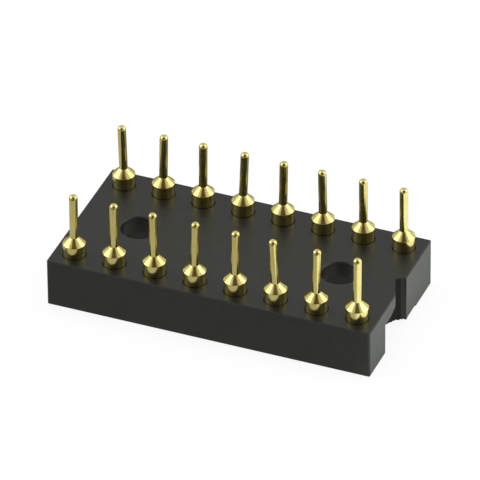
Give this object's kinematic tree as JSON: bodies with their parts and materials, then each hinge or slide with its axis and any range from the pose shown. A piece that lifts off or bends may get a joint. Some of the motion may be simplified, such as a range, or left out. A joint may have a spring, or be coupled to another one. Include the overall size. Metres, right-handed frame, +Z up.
{
  "type": "integrated circuit socket",
  "caption": "Dual-in-line socket for an integrated circuit: black moulded body with rails joined by a web, turned gold-plated contacts with round solder tails, spring clips inside, end notch",
  "frame": {"origin": "centre of the mating face's plane, below the middle of the body; the part stands on that face with its solder tails up", "axes": "+X along the rows towards the notched end; +Y across the rows, from the row of pins 1 to 8 to the row of pins 9 to 16; +Z up towards the solder tails"},
  "size_m": [0.0204, 0.0102, 0.0074],
  "materials": {
    "body_plastic": "semi-gloss moulded black plastic, faintly mottled by its glass fibre",
    "shell_gold": "pale gold plating over turned brass, bright, with fine turning marks",
    "clip_gold": "pale gold plating over stamped spring copper alloy"
  },
  "bodies": {
    "root": {"socket_body": "body_plastic", "pin_01": "shell_gold", "pin_02": "shell_gold", "pin_03": "shell_gold", "pin_04": "shell_gold", "pin_05": "shell_gold", "pin_06": "shell_gold", "pin_07": "shell_gold", "pin_08": "shell_gold", "pin_09": "shell_gold", "pin_10": "shell_gold", "pin_11": "shell_gold", "pin_12": "shell_gold", "pin_13": "shell_gold", "pin_14": "shell_gold", "pin_15": "shell_gold", "pin_16": "shell_gold", "clip_01": "clip_gold", "clip_02": "clip_gold", "clip_03": "clip_gold", "clip_04": "clip_gold", "clip_05": "clip_gold", "clip_06": "clip_gold", "clip_07": "clip_gold", "clip_08": "clip_gold", "clip_09": "clip_gold", "clip_10": "clip_gold", "clip_11": "clip_gold", "clip_12": "clip_gold", "clip_13": "clip_gold", "clip_14": "clip_gold", "clip_15": "clip_gold", "clip_16": "clip_gold"}
  },
  "joints": []
}
